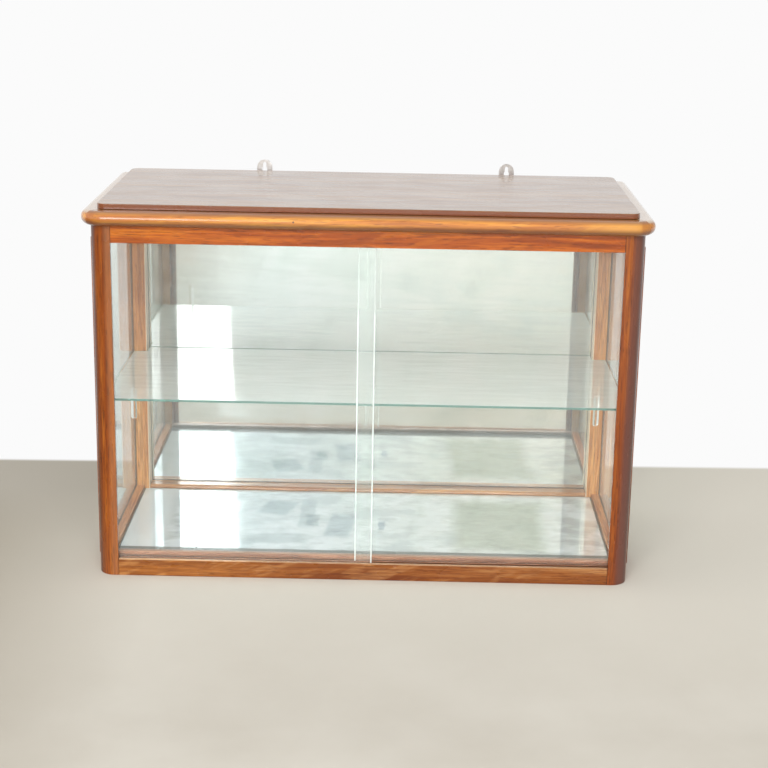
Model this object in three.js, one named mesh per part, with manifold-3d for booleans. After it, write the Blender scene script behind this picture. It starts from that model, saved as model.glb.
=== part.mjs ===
// A glazed wall display cabinet in varnished mahogany: two bypassing glass doors in wooden
// tracks, glass sides, a mirror floor and back, one loose glass shelf and two hanging plates.
// Millimetres, +Z up, front towards -Y, origin under the middle of the whole cabinet.
import * as THREE from "three";
import { mergeVertices } from "three/addons/utils/BufferGeometryUtils.js";
import Module from "manifold-3d";

const wasm = await Module();
wasm.setup();

// Frame: four corner posts and the rails between them
const bodyWidth = 914; // outside the posts
const bodyDepth = 412; // front of the posts to the back of the frame
const bodyHeight = 612; // ground to the underside of the moulded top
const postWidth = 35; // the posts are square
const postRound = 28; // radius of a front post's outer corner
const lipThickness = 8; // the edge of posts and rails in front of the doors
const doorRebateWidth = 10; // how far a door reaches behind a front post's lip
const frontRailDepth = 22;
const frontLowRailHeight = 29.5;
const topRailHeight = 28;
const lowRailHeight = 34; // sides and rear, level with the raised strip of the track
const sideRailThickness = 24;
const rearRailThickness = 32;
const rearRailRound = 5; // inner top edge of the rear low rail
const tenonLength = 12;
const tenonThickness = 7;
const tenonShoulder = 2.5;

// Clearances
const jointGap = 0.3; // between pieces that are fitted to each other
const panePlay = 0.5; // round a pane or panel in its rebate
const mirrorPlay = 1.5; // round the floor mirror, and in front of the back one
const cutOverrun = 6; // how far a cut runs past the face that it opens

// Moulded top
const topOverhang = 15; // past the posts, at the front and the sides
const topThickness = 25;
const topRound = 40; // front corners, seen from above
const topFrameWidth = 60;
const topEdgeFlat = 1; // flat band in the middle of the half-round edge
const capThickness = 9.5;
const capInset = 11.5; // inside the outline of the posts and the frame's back
const capRound = 14;

// Floor
const floorLevel = 22; // top of the base board
const baseBoardThickness = 12;
const baseRebateWidth = 12;
const floorMirrorThickness = 6;

// Sliding doors and their tracks
const doorThickness = 5;
const doorOverlap = 30; // of the two closed doors
const doorEdgePlay = 2; // to the bottom of the post's rebate
const doorFootPlay = 0.3;
const doorTopBite = 7; // how far the glass reaches into the upper track
const ridgeWidth = 4; // between the two grooves
const rearRidgeWidth = 5;
const lowTrackSole = 2.8; // under the lower grooves
const topTrackSole = 4; // over the upper grooves
const topGrooveDepth = 13; // deep enough to lift a door out of the lower groove
const sillWidth = 14; // raised strip behind the lower grooves
const sillRise = 4.5;
const sillRound = 3;
const pullWidth = 11; // ground finger pull
const pullHeight = 56;
const pullDepth = 1.2;
const pullInset = 40; // its middle, from the door's outer edge

// Side panes and the glazing beads that hold them
const paneThickness = 4;
const paneInset = 9; // outside of the frame to the pane's inner face
const paneLap = 5; // how far the pane reaches behind the frame's edge
const beadWidth = 8;
const beadProud = 2; // how far the beads stand out of the sides

// Back
const backMirrorThickness = 4;
const backMirrorLap = 6;
const backBoardThickness = 5;
const backBoardOverlap = 18; // on the posts
const backBoardLowEdge = 14;
const backBoardDrop = 12; // its top edge, under the moulded top

// Shelf, its studs and the spare stud holes
const shelfThickness = 4;
const shelfLevel = 299; // underside
const shelfFront = 54; // behind the front of the posts
const shelfPlay = 2;
const studRadius = 3;
const studSeat = 10; // length inside the post
const studReach = 26; // length in front of it
const studInset = 17; // its middle, from the outside of the frame
const studChamfer = 0.8;
const spareHoleRadius = 2;
const spareHoleDepth = 8;
const spareHoleDrop = 48; // first spare hole under the shelf
const spareHoleStep = 11.5;

// Hanging plates
const plateThickness = 2;
const plateWidth = 28;
const plateHeight = 63.5;
const plateLap = 10.5; // how far it reaches down below the moulded top
const plateLeft = -201; // middle of the left plate
const plateRight = 248; // middle of the right plate
const keyholeRadius = 5;
const keyholeDrop = 18; // its middle, from the top of the plate
const keyslotWidth = 6;
const keyslotDrop = 5; // its upper end, from the top of the plate
const plateScrewDrop = 5; // lower screw, under the underside of the moulded top
const plateScrewRise = 15; // upper screw, over it

// Screws
const shankRadius = 1.9;
const headRadius = 4;
const countersinkDepth = 2.4;
const panHeadHeight = 2;
const backScrewLength = 16;
const baseScrewLength = 20;
const plateScrewLength = 14;
const backScrewTopEdge = 5; // its middle, from the back board's top edge
const backScrewLowEdge = 8; // from its lower edge
const backScrewSideEdge = 60; // and from its sides
const baseScrewSpacing = 180;

// Counts
const arcSteps = 10;
const edgeSteps = 7; // on each half of the moulded edge
const screwSides = 12;
const spareHoles = 3;
const screwsInRow = 3;
const screwsPerSide = 2;

// Places that follow from the sizes above. X is given for the right side.
const outerX = bodyWidth / 2;
const innerX = outerX - postWidth;
const doorRebateX = innerX + doorRebateWidth;
const paneX = outerX - paneInset;
const sideRailX = outerX - sideRailThickness;
const rearPostY = bodyDepth - postWidth;
const rearRailY = bodyDepth - rearRailThickness;
const topRailLevel = bodyHeight - topRailHeight;
const baseRebateX = sideRailX + baseRebateWidth;
const baseRebateY = rearRailY + baseRebateWidth;
const backMirrorY = bodyDepth - backMirrorThickness - jointGap;
const topTrackRoof = topRailLevel + topGrooveDepth;
const topTrackLevel = topTrackRoof + topTrackSole;
const lowGrooveLevel = floorLevel + lowTrackSole;
const grooveWidth = doorThickness + 2 * panePlay;
const secondGrooveY = lipThickness + grooveWidth + ridgeWidth;
const rearRidgeY = secondGrooveY + grooveWidth;
const sillY = rearRidgeY + rearRidgeWidth;
const trackBackY = sillY + sillWidth;
const trackFrontY = lipThickness + jointGap;
const trackX = doorRebateX - panePlay;
const paneLowLevel = lowRailHeight - paneLap;
const paneHighLevel = topRailLevel + paneLap;
const paneFrontY = postWidth - paneLap;
const paneBackY = rearPostY + paneLap;
const backBoardX = innerX + backBoardOverlap;
const studX = outerX - studInset;
const studLevel = shelfLevel - jointGap - studRadius;
const mouldingX = outerX + topOverhang;
const coreX = mouldingX - topFrameWidth;
const coreY = topFrameWidth - topOverhang;
const topLevel = bodyHeight + topThickness;
const mitreShift = jointGap / Math.SQRT2;
const wholeBackY = bodyDepth + backBoardThickness;
const backBoardTopEdge = bodyHeight - backBoardDrop;
const plateFoot = bodyHeight - plateLap;
const plateTop = plateFoot + plateHeight;
const keyholeLevel = plateTop - keyholeDrop;
const keyslotTop = plateTop - keyslotDrop;
const plateScrewLow = bodyHeight - plateScrewDrop;
const plateScrewHigh = bodyHeight + plateScrewRise;

// Tenons: the span across the rail and the span in height, used for the rail and the post. The
// low side and rear rails have theirs outside the rebate of the base board.
const frontTenonY = span((frontRailDepth - tenonThickness) / 2, tenonThickness);
const sideLowTenonX = span((baseRebateX + outerX - tenonThickness) / 2, tenonThickness);
const sideTopTenonX = span((sideRailX + outerX - tenonThickness) / 2, tenonThickness);
const rearLowTenonY = span((baseRebateY + bodyDepth - tenonThickness) / 2, tenonThickness);
const rearTopTenonY = span((rearRailY + backMirrorY - tenonThickness) / 2, tenonThickness);
const frontLowTenonZ = [tenonShoulder, floorLevel - tenonShoulder];
const frontTopTenonZ = [topTrackLevel + tenonShoulder, bodyHeight - tenonShoulder];
const lowTenonZ = [tenonShoulder, paneLowLevel - tenonShoulder];
const topTenonZ = [paneHighLevel + tenonShoulder, bodyHeight - tenonShoulder];

// Finishes: colour, roughness and metalness
const finishes = {
  mahogany: [0xa3562a, 0.35, 0],
  moulding: [0xb8702f, 0.32, 0],
  cap: [0x7d4327, 0.3, 0],
  track: [0x9a6040, 0.45, 0],
  backing: [0x9c7a55, 0.8, 0],
  glass: [0xdfeee8, 0.05, 0],
  mirror: [0xd5ddd8, 0.08, 1],
  steel: [0xb9b8b2, 0.4, 1],
};

const cabinet = new THREE.Group();
cabinet.position.y = (topOverhang - wholeBackY) / 2;

// Names a geometry as one piece of the cabinet and gives it its finish.
function piece(name, finish, geometry) {
  const [color, roughness, metalness] = finishes[finish];
  const mesh = new THREE.Mesh(
    geometry,
    new THREE.MeshStandardMaterial({ color, roughness, metalness }),
  );
  mesh.name = name;
  cabinet.add(mesh);
  return mesh;
}

function span(start, length) {
  return [start, start + length];
}

function grown([low, high], by) {
  return [low - by, high + by];
}

// The same span on the left (side -1) or the right (side 1).
function onSide(side, [low, high]) {
  return side > 0 ? [low, high] : [-high, -low];
}

// A rectangular block between two values on each axis.
function block(xs, ys, zs) {
  const geometry = new THREE.BoxGeometry();
  const place = geometry.getAttribute("position");
  for (let i = 0; i < place.count; i++) {
    const x = xs[place.getX(i) > 0 ? 1 : 0];
    const y = ys[place.getY(i) > 0 ? 1 : 0];
    const z = zs[place.getZ(i) > 0 ? 1 : 0];
    place.setXYZ(i, x, y, z);
  }
  return geometry;
}

// An outline pushed along an axis between two values. The outline's points are [y, z] along X,
// [x, z] along Y and [x, y] along Z.
function prism(outline, axis, [from, to]) {
  const shape = new THREE.Shape(
    outline.map(([u, v]) => (axis === "y" ? new THREE.Vector2(v, u) : new THREE.Vector2(u, v))),
  );
  const geometry = new THREE.ExtrudeGeometry(shape, { depth: 1, bevelEnabled: false });
  const place = geometry.getAttribute("position");
  for (let i = 0; i < place.count; i++) {
    const u = place.getX(i);
    const v = place.getY(i);
    const along = place.getZ(i) > 0 ? to : from;
    if (axis === "x") place.setXYZ(i, along, u, v);
    else if (axis === "y") place.setXYZ(i, v, along, u);
    else place.setXYZ(i, u, v, along);
  }
  return geometry;
}

// Points on an arc, from one angle to another in degrees.
function arc(centreU, centreV, radius, fromAngle, toAngle, steps = arcSteps) {
  const points = [];
  for (let i = 0; i <= steps; i++) {
    const angle = THREE.MathUtils.degToRad(fromAngle + ((toAngle - fromAngle) * i) / steps);
    points.push([centreU + radius * Math.cos(angle), centreV + radius * Math.sin(angle)]);
  }
  return points;
}

// A closed geometry as a solid that can be cut and joined, and back again.
function solidOf(geometry) {
  const bare = geometry.clone();
  bare.deleteAttribute("normal");
  bare.deleteAttribute("uv");
  const merged = mergeVertices(bare);
  return new wasm.Manifold(
    new wasm.Mesh({
      numProp: 3,
      vertProperties: merged.getAttribute("position").array,
      triVerts: merged.index.array,
    }),
  );
}

function geometryOf(solid) {
  const mesh = solid.getMesh();
  const geometry = new THREE.BufferGeometry();
  geometry.setAttribute("position", new THREE.BufferAttribute(mesh.vertProperties, mesh.numProp));
  geometry.setIndex(new THREE.BufferAttribute(mesh.triVerts, 1));
  geometry.computeVertexNormals();
  return geometry;
}

function cut(geometry, cutters) {
  return geometryOf(
    cutters.reduce((solid, cutter) => solid.subtract(solidOf(cutter)), solidOf(geometry)),
  );
}

function joined(geometry, other) {
  return geometryOf(solidOf(geometry).add(solidOf(other)));
}

// The part of a tenon, or of the mortise that takes it, for a rail along X or along Y.
function tenonAlongX([from, to], ys, zs, gap = 0) {
  return block(grown([from, to], tenonLength + 2 * gap), grown(ys, gap), grown(zs, gap));
}

function tenonAlongY([from, to], xs, zs, gap = 0) {
  return block(grown(xs, gap), grown([from, to], tenonLength + 2 * gap), grown(zs, gap));
}

// Screws, drawn along Y with the head's face at 0 and the point towards -Y. Growth makes the
// hole that a screw sits in.
function countersunkScrew(length, growth = 0) {
  return turnedPiece([
    [0, -length - growth],
    [shankRadius + growth, -length - growth],
    [shankRadius + growth, -countersinkDepth],
    [headRadius + growth, 0],
    [headRadius + growth, growth],
    [0, growth],
  ]);
}

function panScrew(length) {
  return turnedPiece([
    [0, -length],
    [shankRadius, -length],
    [shankRadius, 0],
    [headRadius, 0],
    [headRadius, panHeadHeight / 2],
    [headRadius / 2, panHeadHeight],
    [0, panHeadHeight],
  ]);
}

function turnedPiece(profile) {
  return new THREE.LatheGeometry(
    profile.map(([radius, along]) => new THREE.Vector2(radius, along)),
    screwSides,
  );
}

// A round hole along Y, from one Y to another.
function roundHole(x, z, radius, [from, to]) {
  const profile = [
    [0, from],
    [radius, from],
    [radius, to],
    [0, to],
  ];
  return turnedPiece(profile).translate(x, 0, z);
}

// Posts
function studHole(side, [from, to]) {
  return roundHole(side * studX, studLevel, studRadius + jointGap, [from, to]);
}

function frontPost(side) {
  const section = [
    [innerX, 0],
    ...arc(outerX - postRound, postRound, postRound, -90, 0),
    [outerX, postWidth],
    [innerX, postWidth],
  ].map(([x, y]) => [side * x, y]);
  const doorRebate = block(
    onSide(side, [innerX - cutOverrun, doorRebateX]),
    [lipThickness, postWidth + cutOverrun],
    [floorLevel, topTrackLevel],
  );
  const paneRebate = block(
    onSide(side, [paneX, outerX + cutOverrun]),
    [paneFrontY, postWidth + cutOverrun],
    [paneLowLevel, paneHighLevel],
  );
  const railSpan = [-innerX, innerX];
  const sideSpan = [postWidth, rearPostY];
  return cut(prism(section, "z", [0, bodyHeight]), [
    doorRebate,
    paneRebate,
    tenonAlongX(railSpan, frontTenonY, frontLowTenonZ, jointGap),
    tenonAlongX(railSpan, frontTenonY, frontTopTenonZ, jointGap),
    tenonAlongY(sideSpan, onSide(side, sideLowTenonX), lowTenonZ, jointGap),
    tenonAlongY(sideSpan, onSide(side, sideTopTenonX), topTenonZ, jointGap),
    studHole(side, [postWidth - studSeat - jointGap, postWidth + cutOverrun]),
  ]);
}

function rearPost(side) {
  const paneRebate = block(
    onSide(side, [paneX, outerX + cutOverrun]),
    [rearPostY - cutOverrun, paneBackY],
    [paneLowLevel, paneHighLevel],
  );
  const mirrorRebate = block(
    onSide(side, [innerX - cutOverrun, innerX + backMirrorLap]),
    [backMirrorY, bodyDepth + cutOverrun],
    [lowRailHeight - backMirrorLap, topRailLevel + backMirrorLap],
  );
  const railSpan = [-innerX, innerX];
  const sideSpan = [postWidth, rearPostY];
  const holes = [studHole(side, [rearPostY - cutOverrun, rearPostY + studSeat + jointGap])];
  for (let i = 0; i < spareHoles; i++) {
    const level = shelfLevel - spareHoleDrop - i * spareHoleStep;
    const depths = [rearPostY - cutOverrun, rearPostY + spareHoleDepth];
    holes.push(roundHole(side * studX, level, spareHoleRadius, depths));
  }
  return cut(block(onSide(side, [innerX, outerX]), [rearPostY, bodyDepth], [0, bodyHeight]), [
    paneRebate,
    mirrorRebate,
    tenonAlongX(railSpan, rearLowTenonY, lowTenonZ, jointGap),
    tenonAlongX(railSpan, rearTopTenonY, topTenonZ, jointGap),
    tenonAlongY(sideSpan, onSide(side, sideLowTenonX), lowTenonZ, jointGap),
    tenonAlongY(sideSpan, onSide(side, sideTopTenonX), topTenonZ, jointGap),
    ...holes,
  ]);
}

// Rails, each with its rebates in the section and a tenon at each end
function frontLowRail() {
  const section = [
    [0, 0],
    [frontRailDepth, 0],
    [frontRailDepth, floorLevel],
    [lipThickness, floorLevel],
    [lipThickness, frontLowRailHeight],
    [0, frontLowRailHeight],
  ];
  const along = [-innerX, innerX];
  return joined(prism(section, "x", along), tenonAlongX(along, frontTenonY, frontLowTenonZ));
}

function frontTopRail() {
  const section = [
    [0, topRailLevel],
    [lipThickness, topRailLevel],
    [lipThickness, topTrackLevel],
    [frontRailDepth, topTrackLevel],
    [frontRailDepth, bodyHeight],
    [0, bodyHeight],
  ];
  const along = [-innerX, innerX];
  return joined(prism(section, "x", along), tenonAlongX(along, frontTenonY, frontTopTenonZ));
}

function sideLowRail(side) {
  const section = [
    [sideRailX, lowRailHeight],
    [paneX, lowRailHeight],
    [paneX, paneLowLevel],
    [outerX, paneLowLevel],
    [outerX, 0],
    [baseRebateX, 0],
    [baseRebateX, floorLevel],
    [sideRailX, floorLevel],
  ].map(([x, z]) => [side * x, z]);
  const along = [postWidth, rearPostY];
  const tenon = tenonAlongY(along, onSide(side, sideLowTenonX), lowTenonZ);
  return cut(joined(prism(section, "y", along), tenon), baseScrewPlaces(side).map(baseScrewHole));
}

function sideTopRail(side) {
  const section = [
    [sideRailX, bodyHeight],
    [sideRailX, topRailLevel],
    [paneX, topRailLevel],
    [paneX, paneHighLevel],
    [outerX, paneHighLevel],
    [outerX, bodyHeight],
  ].map(([x, z]) => [side * x, z]);
  const along = [postWidth, rearPostY];
  const tenon = tenonAlongY(along, onSide(side, sideTopTenonX), topTenonZ);
  return joined(prism(section, "y", along), tenon);
}

function rearLowRail() {
  const section = [
    ...arc(rearRailY + rearRailRound, lowRailHeight - rearRailRound, rearRailRound, 180, 90),
    [backMirrorY, lowRailHeight],
    [backMirrorY, lowRailHeight - backMirrorLap],
    [bodyDepth, lowRailHeight - backMirrorLap],
    [bodyDepth, 0],
    [baseRebateY, 0],
    [baseRebateY, floorLevel],
    [rearRailY, floorLevel],
  ];
  const along = [-innerX, innerX];
  const rail = joined(prism(section, "x", along), tenonAlongX(along, rearLowTenonY, lowTenonZ));
  return cut(rail, backScrewPlaces().map(backScrewHole));
}

function rearTopRail() {
  const section = [
    [rearRailY, topRailLevel],
    [rearRailY, bodyHeight],
    [bodyDepth, bodyHeight],
    [bodyDepth, topRailLevel + backMirrorLap],
    [backMirrorY, topRailLevel + backMirrorLap],
    [backMirrorY, topRailLevel],
  ];
  const along = [-innerX, innerX];
  const rail = joined(prism(section, "x", along), tenonAlongX(along, rearTopTenonY, topTenonZ));
  return cut(rail, [
    ...backScrewPlaces().map(backScrewHole),
    ...plateScrewPlaces().map(plateScrewHole),
  ]);
}

// Tracks: the lower one has two shallow grooves and a raised strip behind them, and the upper
// one two deep grooves
function lowTrack() {
  const sillLevel = frontLowRailHeight + sillRise;
  const section = [
    [trackFrontY, floorLevel],
    [trackBackY, floorLevel],
    ...arc(trackBackY - sillRound, sillLevel - sillRound, sillRound, 0, 90),
    ...arc(sillY + sillRound, sillLevel - sillRound, sillRound, 90, 180),
    [sillY, frontLowRailHeight],
    [rearRidgeY, frontLowRailHeight],
    [rearRidgeY, lowGrooveLevel],
    [secondGrooveY, lowGrooveLevel],
    [secondGrooveY, frontLowRailHeight],
    [secondGrooveY - ridgeWidth, frontLowRailHeight],
    [secondGrooveY - ridgeWidth, lowGrooveLevel],
    [trackFrontY, lowGrooveLevel],
  ];
  return prism(section, "x", [-trackX, trackX]);
}

function topTrack() {
  const section = [
    [trackFrontY, topTrackLevel],
    [trackFrontY, topTrackRoof],
    [secondGrooveY - ridgeWidth, topTrackRoof],
    [secondGrooveY - ridgeWidth, topRailLevel],
    [secondGrooveY, topRailLevel],
    [secondGrooveY, topTrackRoof],
    [rearRidgeY, topTrackRoof],
    [rearRidgeY, topRailLevel],
    [sillY, topRailLevel],
    [sillY, topTrackLevel],
  ];
  return prism(section, "x", [-trackX, trackX]);
}

// Moulded top: a frame with a half-round edge, mitred at the front corners, round a flat core
function roundedSlab(halfWidth, [front, back], radii) {
  const [frontRadius, backRadius] = radii;
  const right = [
    ...arc(halfWidth - frontRadius, front + frontRadius, frontRadius, -90, 0),
    ...arc(halfWidth - backRadius, back - backRadius, backRadius, 0, 90),
  ];
  const left = right.map(([x, y]) => [-x, y]).reverse();
  return [...right, ...left];
}

function mouldedSlab() {
  const round = (topThickness - topEdgeFlat) / 2;
  const plan = roundedSlab(
    mouldingX - round,
    [round - topOverhang, bodyDepth + topRound],
    [topRound - round, topRound - round],
  );
  const shape = new THREE.Shape(plan.map(([x, y]) => new THREE.Vector2(x, y)));
  const geometry = new THREE.ExtrudeGeometry(shape, {
    depth: topEdgeFlat,
    bevelThickness: round,
    bevelSize: round,
    bevelSegments: edgeSteps,
  });
  return stretched(geometry, bodyHeight, topLevel);
}

// Fits a geometry between two levels.
function stretched(geometry, low, high) {
  geometry.computeBoundingBox();
  const { min, max } = geometry.boundingBox;
  const place = geometry.getAttribute("position");
  for (let i = 0; i < place.count; i++) {
    const share = (place.getZ(i) - min.z) / (max.z - min.z);
    place.setZ(i, low + share * (high - low));
  }
  return geometry;
}

function frontMoulding() {
  const region = [
    [-mouldingX - cutOverrun + mitreShift, -topOverhang - cutOverrun],
    [mouldingX + cutOverrun - mitreShift, -topOverhang - cutOverrun],
    [coreX - mitreShift, coreY],
    [mitreShift - coreX, coreY],
  ];
  return mouldingIn(region);
}

function sideMoulding(side) {
  const region = [
    [mouldingX + cutOverrun, mitreShift - topOverhang - cutOverrun],
    [mouldingX + cutOverrun, bodyDepth],
    [coreX, bodyDepth],
    [coreX, coreY + mitreShift],
  ].map(([x, y]) => [side * x, y]);
  return mouldingIn(region);
}

function mouldingIn(region) {
  const heights = [bodyHeight - cutOverrun, topLevel + cutOverrun];
  return geometryOf(solidOf(mouldedSlab()).intersect(solidOf(prism(region, "z", heights))));
}

function topCore() {
  const core = block([-coreX, coreX], [coreY, bodyDepth], [bodyHeight, topLevel]);
  return cut(core, plateScrewPlaces().map(plateScrewHole));
}

function cap() {
  const plan = roundedSlab(
    outerX - capInset,
    [capInset, bodyDepth - capInset],
    [capRound, capRound],
  );
  return prism(plan, "z", [topLevel, topLevel + capThickness]);
}

// Flat panels with square notches round the posts where these are given
function notchedPanel(halfWidth, [front, back], frontNotch, rearNotch) {
  const atFront = frontNotch
    ? [
        [frontNotch[0], front],
        [frontNotch[0], frontNotch[1]],
        [halfWidth, frontNotch[1]],
      ]
    : [[halfWidth, front]];
  const atBack = rearNotch
    ? [
        [halfWidth, rearNotch[1]],
        [rearNotch[0], rearNotch[1]],
        [rearNotch[0], back],
      ]
    : [[halfWidth, back]];
  const right = [...atFront, ...atBack];
  const left = right.map(([x, y]) => [-x, y]).reverse();
  return [...right, ...left];
}

function baseBoard() {
  const plan = notchedPanel(
    baseRebateX - panePlay,
    [frontRailDepth + jointGap, baseRebateY - panePlay],
    [innerX - panePlay, postWidth + panePlay],
    [innerX - panePlay, rearPostY - panePlay],
  );
  const board = prism(plan, "z", [floorLevel - baseBoardThickness, floorLevel]);
  const holes = [-1, 1].flatMap(baseScrewPlaces).map(baseScrewHole);
  return cut(board, holes);
}

function floorMirror() {
  const plan = notchedPanel(
    sideRailX - mirrorPlay,
    [trackBackY + mirrorPlay, rearRailY - mirrorPlay],
    null,
    [innerX - mirrorPlay, rearPostY - mirrorPlay],
  );
  return prism(plan, "z", [floorLevel, floorLevel + floorMirrorThickness]);
}

function backMirror() {
  const halfWidth = innerX + backMirrorLap - panePlay;
  const low = lowRailHeight - backMirrorLap + panePlay;
  const high = topRailLevel + backMirrorLap - panePlay;
  return block([-halfWidth, halfWidth], span(backMirrorY, backMirrorThickness), [low, high]);
}

function backBoard() {
  const board = block(
    [-backBoardX, backBoardX],
    [bodyDepth, wholeBackY],
    [backBoardLowEdge, backBoardTopEdge],
  );
  return cut(board, backScrewPlaces().map(backScrewHole));
}

function shelf() {
  const plan = notchedPanel(
    paneX - shelfPlay,
    [shelfFront, backMirrorY - shelfPlay],
    null,
    [innerX - shelfPlay, rearPostY - shelfPlay],
  );
  return prism(plan, "z", span(shelfLevel, shelfThickness));
}

// Side panes, each held by four mitred beads
function sidePane(side) {
  return block(
    onSide(side, span(paneX, paneThickness)),
    grown([paneFrontY, paneBackY], -panePlay),
    grown([paneLowLevel, paneHighLevel], -panePlay),
  );
}

function beadOutlines() {
  const [front, back] = grown([paneFrontY, paneBackY], -jointGap);
  const [low, high] = grown([paneLowLevel, paneHighLevel], -jointGap);
  return {
    low: [
      [front + mitreShift, low],
      [back - mitreShift, low],
      [back - beadWidth - mitreShift, low + beadWidth],
      [front + beadWidth + mitreShift, low + beadWidth],
    ],
    top: [
      [front + mitreShift, high],
      [back - mitreShift, high],
      [back - beadWidth - mitreShift, high - beadWidth],
      [front + beadWidth + mitreShift, high - beadWidth],
    ],
    front: [
      [front, low + mitreShift],
      [front + beadWidth, low + beadWidth + mitreShift],
      [front + beadWidth, high - beadWidth - mitreShift],
      [front, high - mitreShift],
    ],
    rear: [
      [back, low + mitreShift],
      [back - beadWidth, low + beadWidth + mitreShift],
      [back - beadWidth, high - beadWidth - mitreShift],
      [back, high - mitreShift],
    ],
  };
}

// Doors: plain plates with a ground finger pull near the outer edge of the front face
function door(side) {
  const frontY = (side < 0 ? lipThickness : secondGrooveY) + panePlay;
  const outerEdge = doorRebateX - doorEdgePlay;
  const levels = [lowGrooveLevel + doorFootPlay, topRailLevel + doorTopBite];
  const xs = onSide(side, [-doorOverlap / 2, outerEdge]);
  const cutterRadius = (pullWidth ** 2 / 4 + pullDepth ** 2) / (2 * pullDepth);
  const pull = new THREE.CapsuleGeometry(
    cutterRadius,
    pullHeight - pullWidth,
    arcSteps,
    arcSteps * 4,
  );
  pull.rotateX(Math.PI / 2);
  pull.translate(
    side * (outerEdge - pullInset),
    frontY + pullDepth - cutterRadius,
    (levels[0] + levels[1]) / 2,
  );
  return cut(block(xs, span(frontY, doorThickness), levels), [pull]);
}

// Studs under the shelf
function stud() {
  const length = studSeat + studReach;
  return turnedPiece([
    [0, 0],
    [studRadius - studChamfer, 0],
    [studRadius, studChamfer],
    [studRadius, length - studChamfer],
    [studRadius - studChamfer, length],
    [0, length],
  ]);
}

// Hanging plates with a keyhole
function hangingPlate(x) {
  const top = plateWidth / 2;
  const outline = [
    [x - top, plateFoot],
    [x + top, plateFoot],
    ...arc(x, plateTop - top, top, 0, 180),
  ];
  const slot = keyslotWidth / 2;
  const neck = THREE.MathUtils.radToDeg(Math.asin(slot / keyholeRadius));
  const keyhole = [
    ...arc(x, keyholeLevel, keyholeRadius, neck - 270, 90 - neck),
    ...arc(x, keyslotTop - slot, slot, 0, 180),
  ];
  const through = grown([bodyDepth, bodyDepth + plateThickness], cutOverrun);
  const screwHoles = [plateScrewLow, plateScrewHigh].map((level) =>
    roundHole(x, level, shankRadius + jointGap, through),
  );
  const plate = prism(outline, "y", [bodyDepth, bodyDepth + plateThickness]);
  return cut(plate, [prism(keyhole, "y", through), ...screwHoles]);
}

// Where the screws go, and the holes that they need in each piece that they pass
function baseScrewPlaces(side) {
  const middle = (postWidth + rearPostY) / 2;
  const x = side * (sideRailX + baseRebateX) / 2;
  return Array.from({ length: screwsPerSide }, (_, i) => [
    x,
    middle + (i - (screwsPerSide - 1) / 2) * baseScrewSpacing,
  ]);
}

function baseScrewHole([x, y]) {
  const hole = countersunkScrew(baseScrewLength, jointGap);
  return hole.rotateX(-Math.PI / 2).translate(x, y, floorLevel - baseBoardThickness);
}

function backScrewPlaces() {
  const levels = [backBoardLowEdge + backScrewLowEdge, backBoardTopEdge - backScrewTopEdge];
  const reach = backBoardX - backScrewSideEdge;
  return levels.flatMap((level) =>
    Array.from({ length: screwsInRow }, (_, i) => [
      THREE.MathUtils.lerp(-reach, reach, i / (screwsInRow - 1)),
      level,
    ]),
  );
}

function backScrewHole([x, z]) {
  return countersunkScrew(backScrewLength, jointGap).translate(x, wholeBackY, z);
}

function plateScrewPlaces() {
  return [plateLeft, plateRight].flatMap((x) => [
    [x, plateScrewLow],
    [x, plateScrewHigh],
  ]);
}

function plateScrewHole([x, z]) {
  const depths = [bodyDepth + plateThickness - plateScrewLength - jointGap, bodyDepth + cutOverrun];
  return roundHole(x, z, shankRadius + jointGap, depths);
}

// Assembly
const sides = { left: -1, right: 1 };

piece("top_board", "cap", cap());
piece("top_core", "mahogany", topCore());
piece("top_moulding_front", "moulding", frontMoulding());
piece("rail_front_low", "mahogany", frontLowRail());
piece("rail_front_top", "mahogany", frontTopRail());
piece("rail_rear_low", "mahogany", rearLowRail());
piece("rail_rear_top", "mahogany", rearTopRail());
piece("door_track_low", "track", lowTrack());
piece("door_track_top", "track", topTrack());
piece("base_board", "backing", baseBoard());
piece("floor_mirror", "mirror", floorMirror());
piece("back_mirror", "mirror", backMirror());
piece("back_board", "backing", backBoard());
piece("shelf_glass", "glass", shelf());

for (const [word, side] of Object.entries(sides)) {
  piece(`top_moulding_${word}`, "moulding", sideMoulding(side));
  piece(`post_front_${word}`, "mahogany", frontPost(side));
  piece(`post_rear_${word}`, "mahogany", rearPost(side));
  piece(`rail_${word}_low`, "mahogany", sideLowRail(side));
  piece(`rail_${word}_top`, "mahogany", sideTopRail(side));
  piece(`side_pane_${word}`, "glass", sidePane(side));
  piece(`door_glass_${word}`, "glass", door(side));

  const beadXs = onSide(side, [paneX + paneThickness + jointGap, outerX + beadProud]);
  for (const [edge, outline] of Object.entries(beadOutlines())) {
    piece(`glazing_bead_${word}_${edge}`, "mahogany", prism(outline, "x", beadXs));
  }

  const frontStud = piece(`shelf_stud_front_${word}`, "steel", stud());
  frontStud.position.set(side * studX, postWidth - studSeat, studLevel);
  const rearStud = piece(`shelf_stud_rear_${word}`, "steel", stud());
  rearStud.position.set(side * studX, rearPostY - studReach, studLevel);

  const plateX = side < 0 ? plateLeft : plateRight;
  piece(`hanging_plate_${word}`, "steel", hangingPlate(plateX));

  baseScrewPlaces(side).forEach(([x, y], i) => {
    const screw = piece(`base_screw_${word}_${i + 1}`, "steel", countersunkScrew(baseScrewLength));
    screw.rotation.x = -Math.PI / 2;
    screw.position.set(x, y, floorLevel - baseBoardThickness);
  });
}

plateScrewPlaces().forEach(([x, z], i) => {
  const screw = piece(`plate_screw_${i + 1}`, "steel", panScrew(plateScrewLength));
  screw.position.set(x, bodyDepth + plateThickness, z);
});

backScrewPlaces().forEach(([x, z], i) => {
  const screw = piece(`back_screw_${i + 1}`, "steel", countersunkScrew(backScrewLength));
  screw.position.set(x, wholeBackY, z);
});

export default cabinet;
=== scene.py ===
import math

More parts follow.
